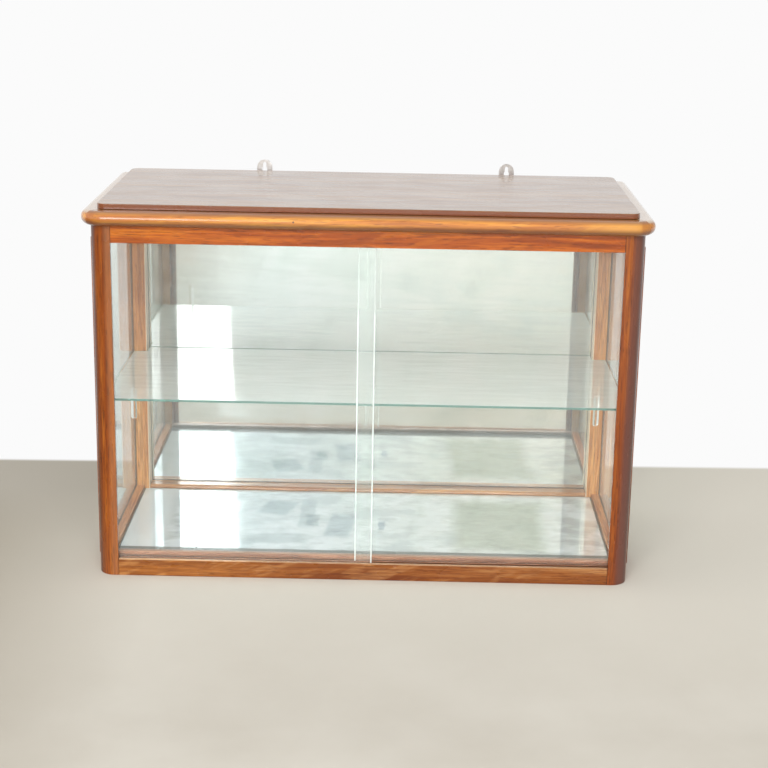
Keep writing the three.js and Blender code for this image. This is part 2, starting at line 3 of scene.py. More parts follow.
import bpy
from mathutils import Matrix, Vector

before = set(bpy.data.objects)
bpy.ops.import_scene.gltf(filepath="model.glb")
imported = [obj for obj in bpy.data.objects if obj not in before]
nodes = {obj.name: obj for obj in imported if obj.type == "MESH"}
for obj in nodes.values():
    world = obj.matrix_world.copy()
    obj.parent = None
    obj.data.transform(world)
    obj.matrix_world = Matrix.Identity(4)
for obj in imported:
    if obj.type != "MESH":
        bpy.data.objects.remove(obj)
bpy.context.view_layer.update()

# A wall display cabinet: a varnished mahogany frame with glass doors and sides, a glass shelf,
# and mirrors over its floor and back. Metres, front towards -Y. Patterns, stains and arrises
# are given in millimetres.

MM = 0.001
scene = bpy.context.scene
sides = ("left", "right")


# Colours and node trees

def linear(code):
    """An sRGB hex colour as the linear values that shaders take."""
    shares = [int(code[i : i + 2], 16) / 255 for i in (1, 3, 5)]
    return (*[s / 12.92 if s <= 0.04045 else ((s + 0.055) / 1.055) ** 2.4 for s in shares], 1.0)


def add(tree, kind, inputs=None, stops=None, **settings):
    """Adds a node with its settings. An input is a value, a socket, or a node, whose first
    output in use is then linked. Stops are the places and colours of a colour ramp."""
    made = tree.nodes.new(kind)
    for name, value in settings.items():
        setattr(made, name, value)
    for number, (position, code) in enumerate(stops or ()):
        elements = made.color_ramp.elements
        element = elements[number] if number < 2 else elements.new(position)
        element.position = position
        element.color = linear(code)
    for key, value in (inputs or {}).items():
        if isinstance(value, bpy.types.Node):
            value = next(output for output in value.outputs if output.enabled)
        if isinstance(value, bpy.types.NodeSocket):
            tree.links.new(value, made.inputs[key])
        else:
            made.inputs[key].default_value = value
    return made


def new_material(name):
    material = bpy.data.materials.new(name)
    material.use_nodes = True
    material.node_tree.nodes.clear()
    return material, material.node_tree


def patterns(tree, place, table, along="x"):
    """Noises by name. The table gives the length and width of their marks in millimetres,
    their detail, how rough that is, and how far they slant from the grain."""
    made = {}
    for name, (length, width, detail, rough, slant) in table.items():
        sizes = [(length if axis == along else width) * MM for axis in "xyz"]
        stretched = add(tree, "ShaderNodeMapping",
                        {"Vector": place, "Rotation": (0.0, slant, 0.0), "Scale": sizes},
                        vector_type="TEXTURE")
        made[name] = add(tree, "ShaderNodeTexNoise",
                         {"Vector": stretched, "Scale": 1.0, "Detail": detail,
                          "Roughness": rough})
    return made


def zone(tree, place, axis, begins, full, most=1.0):
    """A share that grows along an axis, from none where it begins to the most where full.
    The axis |x| is the distance from the middle to either side."""
    along = add(tree, "ShaderNodeSeparateXYZ", {0: place}).outputs["xyz".index(axis.strip("|"))]
    if axis == "|x|":
        along = add(tree, "ShaderNodeMath", {0: along}, operation="ABSOLUTE")
    return add(tree, "ShaderNodeMapRange",
               {"Value": along, 1: begins * MM, 2: full * MM, 4: most},
               interpolation_type="SMOOTHSTEP")


# Sockets of the colour mix node, by place: the share, and the colours at 0 and at 1
SHARE, FIRST, SECOND = 0, 6, 7
# A range node's sockets 1 and 2 are the ends of what comes in, and 3 and 4 of what it gives,
# which are 0 and 1 where they are left out.


# Woods

# How the whole grain drifts aside along a board
grain_drift = {"drift": (420, 110, 1, 0.5, 0.0)}
# Growth bands, the streaks in them, silky fibres, pores, and figure that slants across the
# grain. Real pores are 0.1 to 0.3 mm wide. They are drawn wider here, so that they show.
mahogany_grain = {
    "bands": (560, 34, 2, 0.5, 0.0),
    "streaks": (230, 7, 4, 0.6, 0.0),
    "fibres": (70, 3.0, 3, 0.6, 0.0),
    "pores": (26, 2.0, 1, 0.5, 0.0),
    "figure": (70, 13, 2, 0.5, -0.32),
    "clouds": (150, 80, 2, 0.5, 0.0),
    "dents": (40, 16, 2, 0.5, 0.0),
    "wear": (110, 40, 3, 0.55, 0.0),
}


def varnished_mahogany(name, along, tones, pore, gloss, coat=(0.0, 0.0), figured=0.3,
                       wander=24, stains=(), nail_holes=()):
    """Mahogany, planed and brushed with oil varnish: long streaks of red and orange brown,
    short dark pores and a paler figure that slants across, under an uneven gloss. The grain
    wanders by some millimetres. A coat of clear varnish has a weight and a roughness. Stains,
    and the painted light and shade that are given the same way, have an axis, the places along
    it, in millimetres, where they begin and are full, the share they then have, and a colour."""
    material, tree = new_material(name)
    own = add(tree, "ShaderNodeTexCoord").outputs["Object"]
    random = add(tree, "ShaderNodeObjectInfo").outputs["Random"]
    place = add(tree, "ShaderNodeVectorMath", {0: random, 1: (13.7, 7.9, 11.3), 2: own},
                operation="MULTIPLY_ADD")
    drift = patterns(tree, place, grain_drift, along)["drift"]
    wave = add(tree, "ShaderNodeVectorMath", {0: drift.outputs["Color"], 1: (0.5, 0.5, 0.5)},
               operation="SUBTRACT")
    reach = [0.0 if axis == along else wander * MM for axis in "xyz"]
    waved = add(tree, "ShaderNodeVectorMath", {0: wave, 1: reach, 2: place},
                operation="MULTIPLY_ADD")
    grain = patterns(tree, waved, mahogany_grain, along)

    both = add(tree, "ShaderNodeMath", {0: grain["bands"], 1: grain["streaks"]},
               operation="ADD")
    tone = add(tree, "ShaderNodeMapRange", {"Value": both, 1: 0.78, 2: 1.24})
    colour = add(tree, "ShaderNodeValToRGB", {"Fac": tone}, tones)
    marks = (("figure", 0.52, 0.66, figured, tones[-1][1]),
             ("fibres", 0.42, 0.68, 0.7, tones[0][1]), ("pores", 0.6, 0.68, 0.5, pore))
    for mark, low, high, most, code in marks:
        share = add(tree, "ShaderNodeMapRange",
                    {"Value": grain[mark], 1: low, 2: high, 3: 0.0, 4: most},
                    interpolation_type="SMOOTHSTEP")
        colour = add(tree, "ShaderNodeMix",
                     {SHARE: share, FIRST: colour, SECOND: linear(code)}, data_type="RGBA")
    grime = add(tree, "ShaderNodeMapRange", {"Value": grain["clouds"], 1: 0.4, 2: 0.7, 4: 0.3})
    colour = add(tree, "ShaderNodeMix",
                 {SHARE: grime, FIRST: colour, SECOND: linear(tones[1][1])}, data_type="RGBA")
    for axis, begins, full, most, code in stains:
        share = zone(tree, own, axis, begins, full, most)
        colour = add(tree, "ShaderNodeMix",
                     {SHARE: share, FIRST: colour, SECOND: linear(code)}, data_type="RGBA")
    for hole in nail_holes:
        off = add(tree, "ShaderNodeVectorMath", {0: own, 1: hole}, operation="DISTANCE")
        rim = add(tree, "ShaderNodeMapRange",
                  {"Value": off.outputs["Value"], 1: 1.0 * MM, 2: 2.0 * MM, 3: 1.0, 4: 0.0})
        colour = add(tree, "ShaderNodeMix",
                     {SHARE: rim, FIRST: colour, SECOND: linear("#4A3528")}, data_type="RGBA")

    relief = add(tree, "ShaderNodeMath", {0: grain["pores"], 1: -0.3, 2: grain["dents"]},
                 operation="MULTIPLY_ADD")
    bump = add(tree, "ShaderNodeBump", {"Height": relief, "Distance": 0.1 * MM})
    roughness = add(tree, "ShaderNodeMapRange",
                    {"Value": grain["wear"], 1: 0.3, 2: 0.7, 3: gloss[0], 4: gloss[1]})
    shader = add(tree, "ShaderNodeBsdfPrincipled",
                 {"Base Color": colour, "IOR": 1.5, "Roughness": roughness, "Normal": bump,
                  "Coat Weight": coat[0], "Coat Roughness": coat[1], "Coat IOR": 1.6})
    add(tree, "ShaderNodeOutputMaterial", {"Surface": shader})
    return material


def bare_plywood(name, tones):
    """Board left bare behind and below: dry and dull, with faint long fibres and stains."""
    material, tree = new_material(name)
    place = add(tree, "ShaderNodeTexCoord").outputs["Object"]
    grain = patterns(tree, place, {"fibres": (130, 2.6, 4, 0.65, 0.0),
                                   "stains": (180, 170, 3, 0.5, 0.0)})
    colour = add(tree, "ShaderNodeValToRGB", {"Fac": grain["fibres"]}, tones)
    stained = add(tree, "ShaderNodeMapRange", {"Value": grain["stains"], 1: 0.45, 2: 0.75, 4: 0.5})
    colour = add(tree, "ShaderNodeMix",
                 {SHARE: stained, FIRST: colour, SECOND: linear(tones[0][1])}, data_type="RGBA")
    bump = add(tree, "ShaderNodeBump", {"Height": grain["fibres"], "Distance": 0.3 * MM})
    shader = add(tree, "ShaderNodeBsdfPrincipled",
                 {"Base Color": colour, "IOR": 1.5, "Roughness": 0.75, "Normal": bump})
    add(tree, "ShaderNodeOutputMaterial", {"Surface": shader})
    return material


# Glass, mirror and metal

def float_glass(name, face, film, edge_code, edge_roughness, edge_clear, ground=None):
    """Soda-lime float glass under a film of dust: clear through its face, and green or white
    along its edges, as they were polished or ground. The film's two shares are for a look
    straight through and for one along the face, where dust veils more. Ground is the X place
    of an upright edge whose arrises were ground wide."""
    material, tree = new_material(name)
    coordinates = add(tree, "ShaderNodeTexCoord").outputs
    place = coordinates["Object"]
    normal = add(tree, "ShaderNodeSeparateXYZ", {0: coordinates["Normal"]})
    facing = add(tree, "ShaderNodeMath", {0: normal.outputs["xyz".index(face)]},
                 operation="ABSOLUTE")
    edge = add(tree, "ShaderNodeMapRange", {"Value": facing, 1: 0.97, 2: 0.9})
    if ground is not None:
        across = add(tree, "ShaderNodeSeparateXYZ", {0: place})
        off = add(tree, "ShaderNodeMath", {0: across, 1: ground}, operation="SUBTRACT")
        off = add(tree, "ShaderNodeMath", {0: off}, operation="ABSOLUTE")
        edge = add(tree, "ShaderNodeMapRange", {"Value": off, 1: 2.3 * MM, 2: 1.9 * MM})
        # High up it stands against white and shows less
        shown_high_up = 0.4
        shown = zone(tree, place, "z", 500, 440, 1 - shown_high_up)
        shown = add(tree, "ShaderNodeMath", {0: shown, 1: shown_high_up}, operation="ADD")
        edge = add(tree, "ShaderNodeMath", {0: edge, 1: shown}, operation="MULTIPLY")
    smears = patterns(tree, place, {"smears": (60, 140, 4, 0.6, 0.5),
                                    "wipes": (170, 11, 4, 0.65, 0.1)})
    colour = add(tree, "ShaderNodeValToRGB", {"Fac": smears["smears"]},
                 [(0.35, "#FFFFFF"), (0.75, "#F3F6F4"), (0.6, "#FBFDFC")])
    pane = add(tree, "ShaderNodeBsdfPrincipled",
               {"Base Color": colour, "Roughness": 0.0, "IOR": 1.5, "Transmission Weight": 1.0})
    dust = add(tree, "ShaderNodeBsdfPrincipled",
               {"Base Color": linear("#EEF9F6"), "Roughness": 0.9, "IOR": 1.5})
    aslant = add(tree, "ShaderNodeLayerWeight", {"Blend": 0.5}).outputs["Facing"]
    veil = add(tree, "ShaderNodeMapRange",
               {"Value": aslant, 1: 0.3, 2: 0.8, 3: film[0], 4: film[1]})
    wiped = add(tree, "ShaderNodeMapRange",
                {"Value": smears["wipes"], 1: 0.3, 2: 0.7, 3: 0.88, 4: 1.12})
    veil = add(tree, "ShaderNodeMath", {0: veil, 1: wiped}, operation="MULTIPLY")
    pane = add(tree, "ShaderNodeMixShader", {0: veil, 1: pane, 2: dust})
    rim = add(tree, "ShaderNodeBsdfPrincipled",
              {"Base Color": linear(edge_code), "Roughness": edge_roughness, "IOR": 1.5,
               "Transmission Weight": edge_clear})
    glass = add(tree, "ShaderNodeMixShader", {0: edge, 1: pane, 2: rim})
    clear = add(tree, "ShaderNodeBsdfTransparent", {"Color": linear("#F6FAF8")})
    shadow = add(tree, "ShaderNodeLightPath").outputs["Is Shadow Ray"]
    surface = add(tree, "ShaderNodeMixShader", {0: shadow, 1: glass, 2: clear})
    add(tree, "ShaderNodeOutputMaterial", {"Surface": surface})
    return material


def clouded_mirror(name, clean, dull, blotch, dust, edges, drifts=(), marks=()):
    """Old silvered plate glass: a bright mirror, cool at its left and warm at its right,
    dulled by grey-green clouds where the silver has tarnished, by the smears that wiping has
    left and by a pale film of dust. It goes dark along its edges, and dust drifts thicker at
    some places, both given as stains are. Marks are patches where the silver is dull: the
    middle and half size in X and Y, a slant, a share and a colour."""
    material, tree = new_material(name)
    place = add(tree, "ShaderNodeTexCoord").outputs["Object"]
    noises = patterns(tree, place, {"clouds": (blotch, blotch * 0.55, 4, 0.62, 0.2),
                                    "wipes": (150, 7, 4, 0.65, 0.05),
                                    "borders": (24, 24, 3, 0.6, 0.0),
                                    "specks": (9, 6, 2, 0.5, 0.0)})
    cool, warm = clean
    tinted = zone(tree, place, "x", -250, 300)
    colour = add(tree, "ShaderNodeMix",
                 {SHARE: tinted, FIRST: linear(cool), SECOND: linear(warm)}, data_type="RGBA")
    tarnish = add(tree, "ShaderNodeMapRange",
                  {"Value": noises["clouds"], 1: 0.5, 2: 0.63, 4: 0.6},
                  interpolation_type="SMOOTHSTEP")
    wiped = add(tree, "ShaderNodeMapRange",
                {"Value": noises["wipes"], 1: 0.45, 2: 0.65, 4: 0.35})
    speckled = add(tree, "ShaderNodeMapRange",
                   {"Value": noises["specks"], 1: 0.64, 2: 0.72, 4: 0.35})
    for share in (tarnish, wiped, speckled):
        colour = add(tree, "ShaderNodeMix",
                     {SHARE: share, FIRST: colour, SECOND: linear(dull)}, data_type="RGBA")
    # The marks' borders wander by this many millimetres, half of it on average
    wander = 12
    ragged = add(tree, "ShaderNodeVectorMath",
                 {0: noises["borders"].outputs["Color"], 1: (wander * MM, wander * MM, 0.0),
                  2: place}, operation="MULTIPLY_ADD")
    veil = linear("#F4FAFE")
    for middle, half, slant, strength, code in marks:
        shifted = [(m + wander / 2) * MM for m in middle]
        inside = add(tree, "ShaderNodeMapping",
                     {"Vector": ragged, "Location": (*shifted, 0.0),
                      "Rotation": (0.0, 0.0, slant), "Scale": (*[h * MM for h in half], 1.0)},
                     vector_type="TEXTURE")
        inside = add(tree, "ShaderNodeVectorMath", {0: inside}, operation="ABSOLUTE")
        x, y, _ = add(tree, "ShaderNodeSeparateXYZ", {0: inside}).outputs
        reach = add(tree, "ShaderNodeMath", {0: x, 1: y}, operation="MAXIMUM")
        share = add(tree, "ShaderNodeMapRange", {"Value": reach, 1: 1.1, 2: 0.8, 4: strength})
        colour, veil = (add(tree, "ShaderNodeMix",
                            {SHARE: share, FIRST: under, SECOND: linear(code)},
                            data_type="RGBA") for under in (colour, veil))
    haze = add(tree, "ShaderNodeMath", {0: tarnish, 1: 0.05, 2: 0.025},
               operation="MULTIPLY_ADD")
    haze = add(tree, "ShaderNodeMath", {0: wiped, 1: 0.05, 2: haze}, operation="MULTIPLY_ADD")
    silver = add(tree, "ShaderNodeBsdfPrincipled",
                 {"Base Color": colour, "Metallic": 1.0, "Roughness": haze})
    film = add(tree, "ShaderNodeBsdfPrincipled",
               {"Base Color": veil, "Roughness": 0.9, "IOR": 1.5})
    least, most = dust
    share = add(tree, "ShaderNodeMapRange",
                {"Value": noises["clouds"], 1: 0.4, 2: 0.6, 3: most, 4: least})
    for drift in drifts:
        share = add(tree, "ShaderNodeMath", {0: share, 1: zone(tree, place, *drift)},
                    operation="MAXIMUM")
    surface = add(tree, "ShaderNodeMixShader", {0: share, 1: silver, 2: film})
    bare = add(tree, "ShaderNodeBsdfPrincipled",
               {"Base Color": linear("#3A3630"), "Roughness": 0.35, "IOR": 1.5})
    for axis, begins, full in edges:
        dark = zone(tree, place, axis, begins, full, 0.85)
        surface = add(tree, "ShaderNodeMixShader", {0: dark, 1: surface, 2: bare})
    add(tree, "ShaderNodeOutputMaterial", {"Surface": surface})
    return material


def zinc_plated_steel(name, tones):
    """Stamped steel, zinc plated and gone dull: pale grey with darker stains and rub marks."""
    material, tree = new_material(name)
    place = add(tree, "ShaderNodeTexCoord").outputs["Object"]
    marks = patterns(tree, place, {"stains": (9, 9, 4, 0.6, 0.0), "rubs": (7, 0.6, 2, 0.5, 0.4)})
    colour = add(tree, "ShaderNodeValToRGB", {"Fac": marks["stains"]}, tones)
    roughness = add(tree, "ShaderNodeMapRange", {"Value": marks["stains"], 3: 0.4, 4: 0.6})
    bump = add(tree, "ShaderNodeBump", {"Height": marks["rubs"], "Distance": 0.05 * MM})
    shader = add(tree, "ShaderNodeBsdfPrincipled",
                 {"Base Color": colour, "Metallic": 1.0, "Roughness": roughness,
                  "Normal": bump})
    add(tree, "ShaderNodeOutputMaterial", {"Surface": shader})
    return material


# Shapes of the carried-over pieces

def corner_weld():
    """Joins the corners of a loaded mesh and lets go of its stored normals."""
    group = bpy.data.node_groups.new("corner weld", "GeometryNodeTree")
    for way in ("INPUT", "OUTPUT"):
        group.interface.new_socket("Geometry", in_out=way, socket_type="NodeSocketGeometry")
    start = add(group, "NodeGroupInput")
    bare = add(group, "GeometryNodeRemoveAttribute", {"Geometry": start, "Name": "custom_normal"})
    joined = add(group, "GeometryNodeMergeByDistance", {"Geometry": bare, "Distance": 1e-6})
    smooth = add(group, "GeometryNodeSetShadeSmooth", {"Geometry": joined})
    add(group, "NodeGroupOutput", {0: smooth})
    return group


weld = corner_weld()


def dress(names, material, arris=0.8):
    """Gives pieces their finish, and eases their arrises by a width in millimetres."""
    for name in names:
        piece = nodes[name]
        piece.material_slots[0].material = material
        piece.modifiers.new("corner weld", "NODES").node_group = weld
        faces = piece.modifiers.new("whole faces", "DECIMATE")
        faces.decimate_type = "DISSOLVE"
        faces.angle_limit = math.radians(1)
        easing = piece.modifiers.new("eased arrises", "BEVEL")
        easing.width = arris * MM
        easing.segments = 2
        easing.limit_method = "ANGLE"
        easing.angle_limit = math.radians(35)
        shading = piece.modifiers.new("face shading", "WEIGHTED_NORMAL")
        shading.weight = 100


# The tones run from the dark streaks to the pale ones
top_rail_tones = [(0.0, "#7F360A"), (0.35, "#A64D0C"), (0.7, "#BE6114"), (1.0, "#D37A1E")]
low_rail_tones = [(0.0, "#783E16"), (0.35, "#9A5A20"), (0.7, "#B67234"), (1.0, "#D69A5C")]
post_tones = [(0.0, "#6E2F0C"), (0.35, "#8C420E"), (0.7, "#9C5014"), (1.0, "#B0641E")]
golden_tones = [(0.0, "#B0631A"), (0.35, "#CF7F22"), (0.7, "#DF942C"), (1.0, "#EAA63C")]
top_tones = [(0.0, "#724A20"), (0.35, "#885A24"), (0.7, "#96662A"), (1.0, "#A47432")]
track_tones = [(0.0, "#825238"), (0.35, "#9E684A"), (0.7, "#B07C5C"), (1.0, "#C49474")]
# The side rails and the rear posts, inside, are painted paler than the front's wood: painted
# light, for the light that comes in through the glass and the pale veil its reflections lay over
# them
inner_tones = [(0.0, "#A0562A"), (0.35, "#CC8348"), (0.7, "#DE9C60"), (1.0, "#EAB47C")]
rear_rail_tones = [(0.0, "#8A5026"), (0.35, "#B67A42"), (0.7, "#CA9056"), (1.0, "#E0AE76")]
rear_post_tones = [(0.0, "#8E4E22"), (0.35, "#BE7434"), (0.7, "#D08A46"), (1.0, "#E0A462")]

# A dark line where a front rail meets its posts. The low rail's lip is painted pale, a painted
# highlight where its varnish catches the light, and all of that rail but its left end is darker
# and redder
rail_stains = [("|x|", 420.6, 421.6, 0.75, "#35170B")]
low_rail_highlight_and_stains = [("z", 28.7, 29.3, 0.75, "#E8B886"), ("x", -330, -80, 0.4, "#621E02"),
                   *rail_stains]
# The rounded corners are darker, partly dark old varnish and partly painted shade. The right post
# is painted darker and the left post paler on its inner part, as painted shade and light from the
# left. The posts are redder behind the doors' lips, and painted pale at the back as painted light,
# for the faces that the back mirror shows
post_back_tones_and_light = [("y", -187, -181, 0.6, "#9A5220"), ("y", -166.8, -166.1, 0.75, "#D8AC7C")]
post_shade_and_stains = {"left": [("x", -437, -428, 0.3, "#B88258"), ("x", -442, -456, 0.75, "#421F12"),
                        *post_back_tones_and_light],
               "right": [("x", 431, 442, 0.8, "#6A433A"), ("x", 446, 456, 0.6, "#421F12"),
                         *post_back_tones_and_light]}
# The arris beside the back mirror is painted pale, as a painted highlight, a painted shadow lies
# in the gap beside the side pane, and the outside has its full varnish
rear_post_light_and_stains = [("|x|", 424.2, 422.8, 0.75, "#F0DCC0"), ("|x|", 445.6, 446.8, 0.8, "#38221A"),
                    ("|x|", 449.2, 450.4, 0.8, "#A8744C"), ("|x|", 453.5, 456, 0.6, "#A05420")]
# A dark line runs along the foot of the side panes. Outside of them the varnish is whole
side_rail_stains = [("|x|", 445.4, 447.2, 0.75, "#2E2018"), ("|x|", 449.5, 451, 0.6, "#B05C20")]
# The moulding is painted dark under its nose, as painted shade, and is dull on its flat top. A
# painted highlight makes the right of its front golden, it is browner at its mitres, and a painted
# sheen makes it pale on top along its sides
golden_shade_and_tone = [("z", 627, 617, 0.8, "#5A2406"), ("z", 630, 636, 0.75, "#8C5C38")]
golden_front_highlight_and_tone = [("x", 300, 430, 0.6, "#E6A642"), ("|x|", 442, 448, 0.5, "#A4561A"),
                       *golden_shade_and_tone]
golden_side_shade_and_sheen = [*golden_shade_and_tone, ("z", 632, 635.5, 0.7, "#DDCCB6")]
# The board is red brown on its edge, and darker where that meets the moulding
top_stains = [("z", 646.1, 645.5, 0.75, "#7A3414"), ("z", 638.4, 637.4, 0.75, "#2E160C")]
# Painted shade in the grooves. Then, across the raised strip, a painted highlight on its front
# edge, painted shade on its slope, a painted highlight on its crown and painted shade on its back
track_painted_light = [("z", 29.35, 28.9, 0.75, "#4E2C1C"), ("y", -170.8, -170.0, 0.75, "#C89C80"),
                ("y", -168.4, -167.6, 0.75, "#8E5E42"), ("y", -164.4, -163.4, 0.75, "#A89080"),
                ("y", -161.4, -160.4, 0.75, "#806A5C")]

rail_wood = {level: varnished_mahogany(f"varnished mahogany, {level} rail", "x", tones, "#3E1A0C",
                                       (0.2, 0.34), figured=figured, stains=stains)
             for level, tones, figured, stains in (
                 ("top", top_rail_tones, 0.3, rail_stains),
                 ("low", low_rail_tones, 0.6, low_rail_highlight_and_stains))}
post_wood = {side: varnished_mahogany(f"varnished mahogany, {side} post", "z", post_tones,
                                      "#34160A", (0.2, 0.34), figured=0.15,
                                      stains=post_shade_and_stains[side])
             for side in sides}
bead_wood = {axis: varnished_mahogany(f"varnished mahogany beads, grain along {axis}", axis,
                                      post_tones, "#34160A", (0.2, 0.34))
             for axis in "yz"}
# These side rails and the rear posts below are painted paler, as painted light inside the cabinet
side_rail_wood = varnished_mahogany("thinly varnished mahogany side rails, with painted light", "y", inner_tones,
                                    "#6B3A20", (0.28, 0.42), stains=side_rail_stains)
rear_rail_wood = varnished_mahogany("varnished mahogany rear rails", "x", rear_rail_tones,
                                    "#6B3A20", (0.28, 0.42), coat=(0.8, 0.1))
rear_post_wood = varnished_mahogany("thinly varnished mahogany rear posts, with painted light", "z", rear_post_tones,
                                    "#5A2C14", (0.28, 0.42), figured=0.15,
                                    stains=rear_post_light_and_stains)
nail_hole = Vector((-120.6, -215.5, 626.5)) * MM
golden_wood = {axis: varnished_mahogany(f"golden varnished moulding, grain along {axis}", axis,
                                        golden_tones, "#7A3E12", (0.3, 0.4), coat=(1.0, 0.15),
                                        stains=stains, nail_holes=[nail_hole])
               for axis, stains in (("x", golden_front_highlight_and_tone), ("y", golden_side_shade_and_sheen))}
top_wood = varnished_mahogany("thickly varnished top", "x", top_tones, "#42200F", (0.2, 0.36),
                              coat=(1.0, 0.22), stains=top_stains)
track_wood = varnished_mahogany("waxed track wood", "x", track_tones, "#45200F", (0.3, 0.45),
                                wander=2, stains=track_painted_light)

dress(["rail_front_low"], rail_wood["low"])
dress(["rail_front_top", "top_core"], rail_wood["top"])
dress(["rail_rear_low", "rail_rear_top"], rear_rail_wood)
dress(["post_rear_left", "post_rear_right"], rear_post_wood)
for side in sides:
    dress([f"post_front_{side}"], post_wood[side])
    dress([f"rail_{side}_low", f"rail_{side}_top"], side_rail_wood)
    dress([f"glazing_bead_{side}_low", f"glazing_bead_{side}_top"], bead_wood["y"])
    dress([f"glazing_bead_{side}_front", f"glazing_bead_{side}_rear"], bead_wood["z"])
dress(["top_moulding_front"], golden_wood["x"], 0.4)
dress(["top_moulding_left", "top_moulding_right"], golden_wood["y"], 0.4)
dress(["top_board"], top_wood, 1.2)
dress(["door_track_low", "door_track_top"], track_wood, 0.5)
dress(["base_board"], bare_plywood("bare base plywood", [(0.3, "#7C5F42"), (0.7, "#A98A63")]),
      0.5)
dress(["back_board"], bare_plywood("bare back plywood", [(0.3, "#75573B"), (0.7, "#9C7A55")]),
      0.5)

for side, meeting_edge in (("left", 15 * MM), ("right", -15 * MM)):
    dress([f"door_glass_{side}"],
          float_glass(f"float glass, {side} door", "y", (0.03, 0.05), "#FAFFFD", 0.6, 0.6,
                      ground=meeting_edge), 0.3)
dress(["side_pane_left", "side_pane_right"],
      float_glass("float glass, cut edges", "x", (0.03, 0.2), "#CFE6DC", 0.5, 0.5), 0.3)
dress(["shelf_glass"],
      float_glass("float glass, polished edges", "z", (0.03, 0.5), "#4F8A7C", 0.1, 0.7), 0.5)

# Both mirrors go dark along their edges. The floor mirror has dull patches, as if things had
# stood on it, and dust lies thick at its left end
floor_edges = [("|x|", 428.2, 429.6), ("y", -131.0, -133.5), ("y", 173.6, 175.6)]
floor_marks = [((-166, 82), (30, 40), -0.26, 0.7, "#B4C6CE"),
               ((-109, 53), (14, 77), 0.0, 0.6, "#BACAD0"),
               ((-98, 15), (12, 30), 0.0, 0.6, "#A8BAC0"),
               ((-162, -80), (55, 25), 0.06, 0.55, "#BCCACE"),
               ((-46, -8), (24, 61), -0.1, 0.6, "#B4C6D0"),
               ((29, -4), (6, 23), 0.0, 0.7, "#A8BAC8"),
               ((244, 7), (84, 136), -0.03, 0.7, "#B8C0AE")]
floor_drifts = [("x", -300, -385, 0.68)]
dress(["floor_mirror"],
      clouded_mirror("clouded floor mirror", ("#E8F8FF", "#F6F4E6"), "#BCCACE", 85, (0.35, 0.6),
                     floor_edges, floor_drifts, floor_marks), 0.4)
back_edges = [("|x|", 420.2, 421.6), ("z", 36.4, 34.8)]
dress(["back_mirror"],
      clouded_mirror("clouded back mirror", ("#E9EDEC", "#ECE9DF"), "#DADFDA", 190, (0.03, 0.13),
                     back_edges), 0.4)

steel = zinc_plated_steel("zinc-plated steel", [(0.3, "#FDFCFA"), (0.7, "#E6E4DF")])
fittings = [f"hanging_plate_{side}" for side in sides]
fittings += [f"shelf_stud_{end}_{side}" for end in ("front", "rear") for side in sides]
fittings += [f"plate_screw_{i}" for i in range(1, 5)]
fittings += [f"back_screw_{i}" for i in range(1, 7)]
fittings += [f"base_screw_{side}_{i}" for side in sides for i in (1, 2)]
dress(fittings, steel, 0.25)


# Floor, light and camera

def pale_floor():
    """A pale floor that keeps the shadow, and is white behind the cabinet."""
    half = 14.0
    mesh = bpy.data.meshes.new("floor")
    mesh.from_pydata([(-half, -half, 0), (half, -half, 0), (half, half, 0), (-half, half, 0)],
                     [], [(0, 1, 2, 3)])
    floor = bpy.data.objects.new("floor", mesh)
    scene.collection.objects.link(floor)
    material, tree = new_material("pale floor")
    place = add(tree, "ShaderNodeTexCoord").outputs["Object"]
    across, depth, _ = add(tree, "ShaderNodeSeparateXYZ", {0: place}).outputs
    blotches = patterns(tree, place, {"blotches": (260, 260, 4, 0.55, 0.0)})["blotches"]
    colour = add(tree, "ShaderNodeValToRGB", {"Fac": blotches},
                 [(0.3, "#C8C2B6"), (0.7, "#D2CDC2")])
    # Painted light makes it lighter near the cabinet's front, where the cabinet shades it, and it
    # is lighter far before it. Painted shade makes it darker at its left, and a painted shadow
    # darker beside the cabinet
    near = add(tree, "ShaderNodeMapRange", {"Value": depth, 1: -0.75, 2: -0.25})
    far = add(tree, "ShaderNodeMapRange", {"Value": depth, 1: -0.9, 2: -1.5})
    left = add(tree, "ShaderNodeMapRange", {"Value": across, 1: -0.35, 2: -0.8})
    beside = add(tree, "ShaderNodeMapRange", {"Value": across, 1: -0.35, 2: -0.55})
    back = add(tree, "ShaderNodeMapRange", {"Value": depth, 1: -0.05, 2: 0.25})
    beside = add(tree, "ShaderNodeMath", {0: beside, 1: back}, operation="MULTIPLY")
    tones = ((near, "#DDD8CC"), (far, "#D8DCD8"), (left, "#A39A8A"), (beside, "#B8B2A6"))
    for share, code in tones:
        colour = add(tree, "ShaderNodeMix",
                     {SHARE: share, FIRST: colour, SECOND: linear(code)}, data_type="RGBA")
    # The white begins along a line that runs a little aslant
    slanted = add(tree, "ShaderNodeMath", {0: across, 1: -0.028, 2: depth},
                  operation="MULTIPLY_ADD")
    behind = add(tree, "ShaderNodeMapRange", {"Value": slanted, 1: 0.425, 2: 0.44})
    matt = add(tree, "ShaderNodeBsdfDiffuse", {"Color": colour})
    white = add(tree, "ShaderNodeEmission", {"Color": linear("#FBFBFB")})
    path = add(tree, "ShaderNodeLightPath")
    seen = path.outputs["Is Camera Ray"]
    for ray in ("Is Glossy Ray", "Is Transmission Ray"):
        seen = add(tree, "ShaderNodeMath", {0: seen, 1: path.outputs[ray]}, operation="MAXIMUM")
    share = add(tree, "ShaderNodeMath", {0: seen, 1: behind}, operation="MULTIPLY")
    surface = add(tree, "ShaderNodeMixShader", {0: share, 1: matt, 2: white})
    add(tree, "ShaderNodeOutputMaterial", {"Surface": surface})
    mesh.materials.append(material)


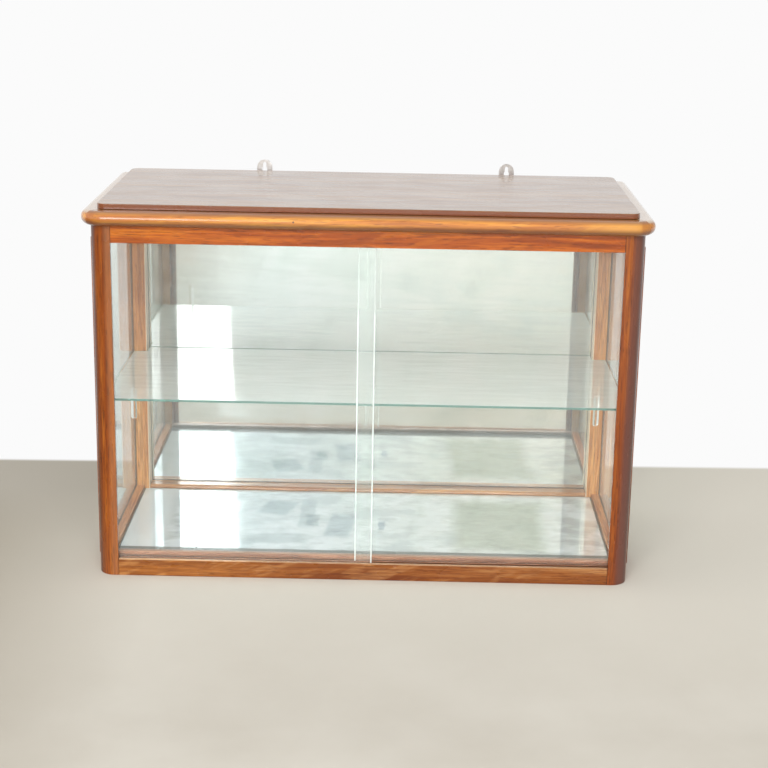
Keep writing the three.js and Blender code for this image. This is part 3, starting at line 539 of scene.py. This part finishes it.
def studio_world():
    """Soft light from all round, less of it from the right and above. The camera sees white."""
    world = bpy.data.worlds.new("studio")
    world.use_nodes = True
    tree = world.node_tree
    tree.nodes.clear()
    towards = add(tree, "ShaderNodeSeparateXYZ",
                  {0: add(tree, "ShaderNodeTexCoord").outputs["Generated"]})
    across, _, up = towards.outputs
    aside = add(tree, "ShaderNodeMapRange", {"Value": across, 1: 0.35, 2: 0.85, 3: 1.0, 4: 0.45})
    above = add(tree, "ShaderNodeMapRange", {"Value": up, 1: 0.35, 2: 0.7, 3: 1.0, 4: 0.75})
    level = add(tree, "ShaderNodeMath", {0: above, 1: aside}, operation="MULTIPLY")
    camera = add(tree, "ShaderNodeLightPath").outputs["Is Camera Ray"]
    strength = add(tree, "ShaderNodeMapRange", {"Value": camera, 3: level, 4: 1.0})
    light = add(tree, "ShaderNodeBackground", {"Color": linear("#FBFBFB"), "Strength": strength})
    add(tree, "ShaderNodeOutputWorld", {"Surface": light})
    scene.world = world


def soft_lamp(name, place, target, size, radiance, glossy=True):
    """A rectangular soft lamp of the given radiance, turned towards a point."""
    lamp = bpy.data.lights.new(name, "AREA")
    lamp.shape = "RECTANGLE"
    lamp.size, lamp.size_y = size
    lamp.energy = radiance * math.pi * size[0] * size[1]
    holder = bpy.data.objects.new(name, lamp)
    scene.collection.objects.link(holder)
    holder.location = place
    turn = (Vector(target) - Vector(place)).to_track_quat("-Z", "Y")
    holder.rotation_euler = turn.to_euler()
    holder.visible_camera = False
    holder.visible_glossy = glossy


def photograph_camera():
    """The camera of the photograph, from a fit to the cabinet's own corners."""
    stand = (0.0537, -2.9389, 1.129)
    yaw, pitch, roll = (math.radians(angle) for angle in (-0.47, -15.82, 1.03))
    # Focal length and width of the picture, in its pixels
    focal, picture = 1701.4, 768
    ahead = Vector((math.sin(yaw) * math.cos(pitch), math.cos(yaw) * math.cos(pitch),
                    math.sin(pitch)))
    level = ahead.cross(Vector((0, 0, 1))).normalized()
    upright = level.cross(ahead)
    right = math.cos(roll) * level + math.sin(roll) * upright
    up = math.cos(roll) * upright - math.sin(roll) * level
    lens = bpy.data.cameras.new("camera")
    lens.sensor_width = 36.0
    lens.lens = lens.sensor_width * focal / picture
    camera = bpy.data.objects.new("camera", lens)
    scene.collection.objects.link(camera)
    turn = Matrix((right, up, -ahead)).transposed().to_4x4()
    camera.matrix_world = Matrix.Translation(stand) @ turn
    scene.camera = camera


pale_floor()
studio_world()
soft_lamp("window left", (-1.155, -4.2, 1.65), (0, 0, 0.35), (0.91, 1.0), 8.0)
soft_lamp("low softbox", (-0.2, -3.9, 0.42), (0, 0, 0.35), (2.4, 0.55), 7.0, glossy=False)
soft_lamp("high softbox", (-0.2, -3.1, 2.7), (0, 0, 0.2), (2.4, 1.2), 7.0, glossy=False)
photograph_camera()
scene.view_settings.view_transform = "Standard"
# Light passes many panes on its way between the two mirrors
through_glass = 32
scene.cycles.max_bounces = through_glass
scene.cycles.transmission_bounces = through_glass
scene.cycles.transparent_max_bounces = through_glass
scene.cycles.glossy_bounces = 12
